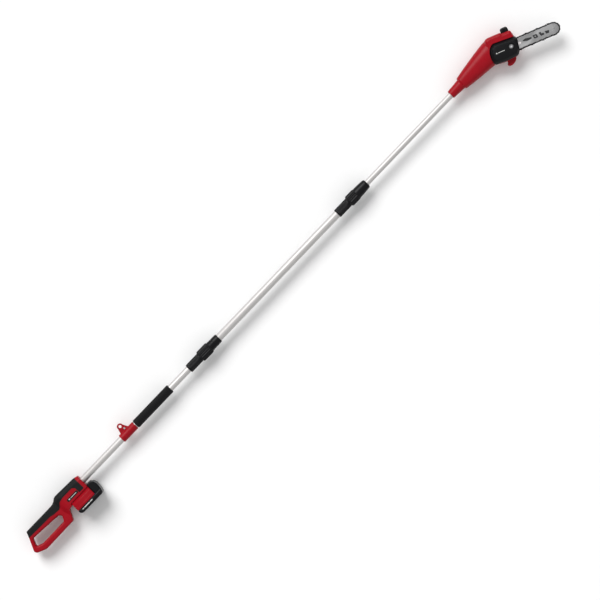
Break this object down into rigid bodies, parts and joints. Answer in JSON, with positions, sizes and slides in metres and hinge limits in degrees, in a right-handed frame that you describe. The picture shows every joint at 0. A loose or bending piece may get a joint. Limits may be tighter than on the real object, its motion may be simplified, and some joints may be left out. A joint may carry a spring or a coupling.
{
  "type": "telescoping pole saw",
  "caption": "Battery pole saw with a D-handle, a telescoping aluminium pole in joined sections, and an angled chain-saw head at the tip.",
  "frame": {"origin": "under the middle of the tool's bounding box, on the surface that it lies on", "axes": "+X along the pole towards the saw head, +Y towards the tool's upper side, +Z out of its right side, so that the tool lies on its left side"},
  "size_m": [2.3348, 0.1519, 0.075],
  "materials": {
    "red_plastic": "satin, fine texture",
    "black_plastic": "satin",
    "soft_rubber": "matte",
    "foam": "matte, porous",
    "aluminium_tube": "satin, anodised",
    "steel": "ground",
    "dark_steel": "oiled",
    "spring_steel": "zinc plated",
    "brass_contact": "bright",
    "board_green": "board",
    "lead_rubber": "matte",
    "white_nylon": "moulded",
    "cell_wrap": "film",
    "tank_plastic": "translucent natural"
  },
  "bodies": {
    "handle_unit": {"handle_shell_right": "red_plastic", "handle_shell_left": "red_plastic", "soft_grip_right": "soft_rubber", "soft_grip_left": "soft_rubber", "handle_screws": "spring_steel", "handle_tube": "aluminium_tube", "main_switch": "black_plastic", "control_board": "board_green", "handle_lead": "lead_rubber", "socket_insert": "black_plastic", "socket_collar": "black_plastic", "foam_grip": "foam", "strap_bracket": "red_plastic", "trigger_pin": "steel", "trigger_spring": "spring_steel", "lock_off_spring": "spring_steel", "battery_contacts": "black_plastic"},
    "trigger": {"trigger": "black_plastic"},
    "lock_off_button": {"lock_off_button": "black_plastic"},
    "battery": {"battery_case_upper": "red_plastic", "battery_case_lower": "black_plastic", "battery_cells": "cell_wrap"},
    "battery_release": {"battery_release_button": "red_plastic"},
    "extension": {"plug_body": "black_plastic", "plug_insert": "black_plastic", "extension_tube": "aluminium_tube", "coiled_lead": "lead_rubber", "clamp_collar": "black_plastic", "collet": "white_nylon"},
    "union_nut": {"union_nut": "black_plastic"},
    "twist_sleeve": {"twist_sleeve": "black_plastic", "wiper_seal": "soft_rubber"},
    "head_unit": {"head_tube": "aluminium_tube", "tube_guide": "white_nylon", "head_lead": "lead_rubber", "head_shell_right": "red_plastic", "head_shell_left": "red_plastic", "head_screws": "spring_steel", "motor_can": "steel", "motor_end_cap": "black_plastic", "motor_bearings": "steel", "spindle_bearings": "steel", "bar_studs": "steel", "oil_tank": "tank_plastic", "oil_pump": "black_plastic"},
    "motor_rotor": {"motor_rotor": "dark_steel", "bevel_pinion": "steel"},
    "sprocket": {"sprocket_spindle": "steel", "bevel_gear": "steel", "drive_sprocket": "dark_steel", "spindle_clip": "spring_steel"},
    "guide_bar": {"guide_bar": "steel", "saw_chain": "dark_steel"},
    "nose_sprocket": {"nose_sprocket": "dark_steel"},
    "tension_block": {"tension_block": "steel"},
    "tension_screw": {"tension_screw": "steel"},
    "sprocket_cover": {"sprocket_cover": "black_plastic"},
    "cover_nut": {"cover_nut": "steel"},
    "oil_cap_seal": {"oil_cap_seal": "soft_rubber"},
    "oil_cap": {"oil_cap": "black_plastic"}
  },
  "joints": [
    {"name": "extension_pull", "type": "slide", "parent": "handle_unit", "child": "extension", "axis": [1, 0, 0], "range_m": [0, 0.06]},
    {"name": "union_nut_turn", "type": "hinge", "parent": "extension", "child": "union_nut", "pos_m": [-0.36038, 0.03369, 0.0375], "axis": [1, 0, 0], "range_deg": [0, 720]},
    {"name": "clamp_twist", "type": "hinge", "parent": "extension", "child": "twist_sleeve", "pos_m": [-0.36038, 0.03369, 0.0375], "axis": [1, 0, 0], "range_deg": [0, 180]},
    {"name": "head_telescope", "type": "slide", "parent": "extension", "child": "head_unit", "axis": [1, 0, 0], "range_m": [-0.37, 0], "deforming": ["coiled_lead"]},
    {"name": "trigger_pull", "type": "hinge", "parent": "handle_unit", "child": "trigger", "pos_m": [-1.02838, 0.02369, 0.0375], "axis": [0, 0, -1], "range_deg": [0, 8], "stiffness_Nm_per_rad": 0.5, "springref_deg": -5.73, "deforming": ["trigger_spring"]},
    {"name": "lock_off_press", "type": "slide", "parent": "handle_unit", "child": "lock_off_button", "axis": [0, 0, 1], "range_m": [0, 0.003], "stiffness_N_per_m": 400, "springref_m": -0.002, "deforming": ["lock_off_spring"]},
    {"name": "battery_slide", "type": "slide", "parent": "handle_unit", "child": "battery", "axis": [1, 0, 0], "range_m": [0, 0.11]},
    {"name": "battery_release_press", "type": "slide", "parent": "battery", "child": "battery_release", "axis": [0, -1, 0], "range_m": [0, 0.003], "stiffness_N_per_m": 400, "springref_m": -0.002},
    {"name": "sprocket_spin", "type": "hinge", "parent": "head_unit", "child": "sprocket", "pos_m": [0.98042, 0.01549, 0.0375], "axis": [0, 0, 1], "continuous": true},
    {"name": "motor_spin", "type": "hinge", "parent": "head_unit", "child": "motor_rotor", "pos_m": [0.98042, 0.01549, 0.0315], "axis": [0.9903, -0.1392, 0], "continuous": true},
    {"name": "guide_bar_slide", "type": "slide", "parent": "head_unit", "child": "guide_bar", "axis": [0.9205, -0.3907, 0], "range_m": [-0.002, 0]},
    {"name": "nose_sprocket_spin", "type": "hinge", "parent": "guide_bar", "child": "nose_sprocket", "pos_m": [1.14639, -0.05496, 0.0545], "axis": [0, 0, 1], "continuous": true},
    {"name": "tension_block_slide", "type": "slide", "parent": "head_unit", "child": "tension_block", "axis": [0.9205, -0.3907, 0], "range_m": [-0.002, 0]},
    {"name": "tension_screw_turn", "type": "hinge", "parent": "head_unit", "child": "tension_screw", "pos_m": [1.02234, -0.01371, 0.0448], "axis": [0.9205, -0.3907, 0], "range_deg": [0, 1440]},
    {"name": "sprocket_cover_lift", "type": "slide", "parent": "head_unit", "child": "sprocket_cover", "axis": [0, 0, 1], "range_m": [0, 0.04]},
    {"name": "cover_nut_turn", "type": "hinge", "parent": "sprocket_cover", "child": "cover_nut", "pos_m": [1.0108, 0.0026, 0.0695], "axis": [0, 0, 1], "range_deg": [0, 1080]},
    {"name": "oil_cap_lift", "type": "slide", "parent": "head_unit", "child": "oil_cap_seal", "axis": [0.3907, 0.9205, 0], "range_m": [0, 0.03]},
    {"name": "oil_cap_turn", "type": "hinge", "parent": "oil_cap_seal", "child": "oil_cap", "pos_m": [1.03491, 0.05428, 0.0375], "axis": [0.3907, 0.9205, 0], "range_deg": [0, 360]}
  ],
  "couplings": [
    {"joint": "motor_spin", "follows": "sprocket_spin", "ratio": 5},
    {"joint": "nose_sprocket_spin", "follows": "sprocket_spin", "ratio": 0.66667},
    {"joint": "tension_block_slide", "follows": "guide_bar_slide", "ratio": 1},
    {"joint": "tension_screw_turn", "follows": "guide_bar_slide", "rad_per_m": -12566}
  ]
}
